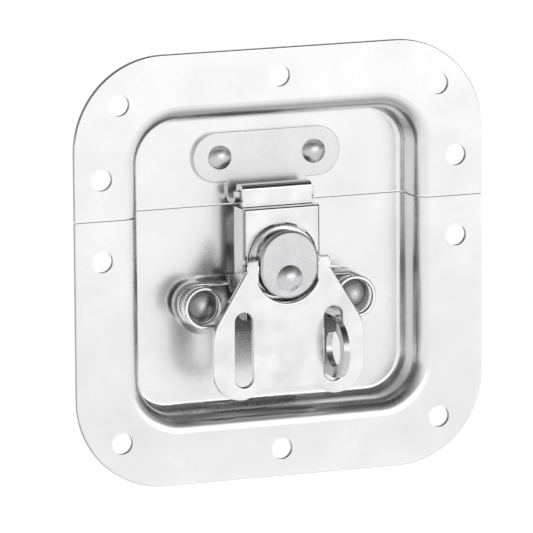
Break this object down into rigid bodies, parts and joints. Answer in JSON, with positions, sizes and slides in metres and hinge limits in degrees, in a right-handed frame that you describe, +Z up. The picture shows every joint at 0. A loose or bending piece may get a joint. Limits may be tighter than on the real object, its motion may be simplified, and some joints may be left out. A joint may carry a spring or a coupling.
{
  "type": "butterfly case latch",
  "caption": "Recessed butterfly latch for a case: drawn two-part dish, eccentric drum and hook plate, keeper, folding winged handle and padlock staple.",
  "frame": {"origin": "middle of the square plate, in the plane of the flange's back, which lies on the case wall", "axes": "+X to the right seen from outside, +Z up towards the lid half, -Y out of the case towards the user"},
  "size_m": [0.103, 0.0258, 0.103],
  "materials": {
    "dish_zinc": "bright zinc plate",
    "bright_zinc": "bright zinc plate",
    "rivet_steel": "plated steel",
    "spring_steel": "plated wire",
    "cap_steel": "satin"
  },
  "bodies": {
    "latch": {"upper_dish": "dish_zinc", "lower_dish": "dish_zinc", "keeper_plate": "bright_zinc", "hook_plate": "bright_zinc", "base_plate": "bright_zinc", "keeper_rivet_left": "rivet_steel", "keeper_rivet_right": "rivet_steel", "spring_post_left": "rivet_steel", "spring_post_right": "rivet_steel", "spindle": "rivet_steel", "cam_rivet": "rivet_steel", "cam_drum": "bright_zinc", "hinge_pin_left": "rivet_steel", "hinge_pin_right": "rivet_steel", "spring_left": "spring_steel", "spring_right": "spring_steel", "thrust_washer": "spring_steel", "cam_cap": "cap_steel"},
    "handle": {"handle": "bright_zinc"}
  },
  "joints": [
    {"name": "handle_lift", "type": "hinge", "parent": "latch", "child": "handle", "pos_m": [0, -0.00425, 0], "axis": [-1, 0, 0], "range_deg": [0, 90]}
  ]
}
